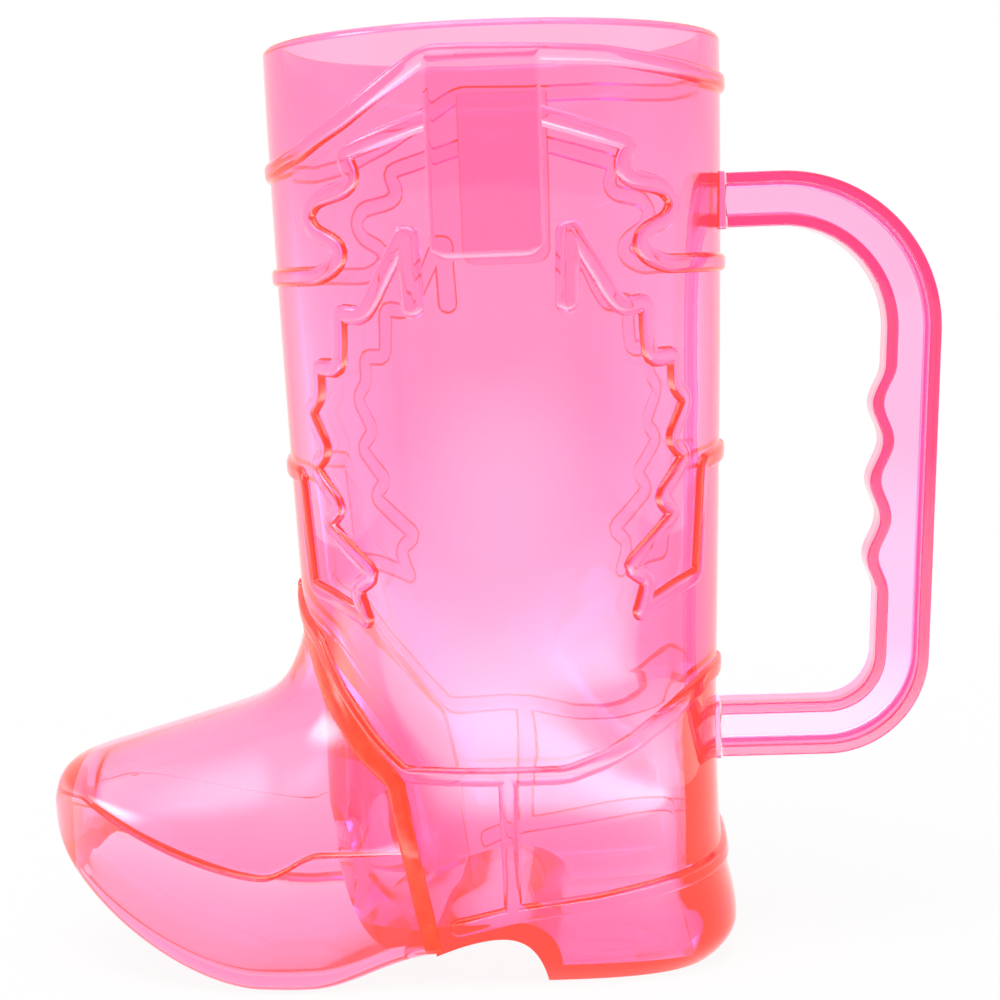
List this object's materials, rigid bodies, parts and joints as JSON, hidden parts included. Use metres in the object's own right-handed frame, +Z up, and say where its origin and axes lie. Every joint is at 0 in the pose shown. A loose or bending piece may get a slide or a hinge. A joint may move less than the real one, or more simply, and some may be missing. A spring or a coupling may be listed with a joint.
{
  "type": "boot-shaped cup",
  "caption": "Boot-shaped drinking cup with an open round shaft, hollow toe, heel, raised western stitch ribs and a D-shaped side handle.",
  "frame": {"origin": "on the ground under the middle of the whole cup's box", "axes": "+X from the toe towards the handle, +Y across the boot, +Z up along the shaft"},
  "size_m": [0.1612, 0.0836, 0.16],
  "materials": {
    "cup_plastic": "clear moulded pink, high gloss",
    "toe_plastic": "clear moulded pink, high gloss",
    "handle_plastic": "clear moulded pink, high gloss"
  },
  "bodies": {
    "root": {"cup_body": "cup_plastic", "toe": "toe_plastic", "handle": "handle_plastic"}
  },
  "joints": []
}
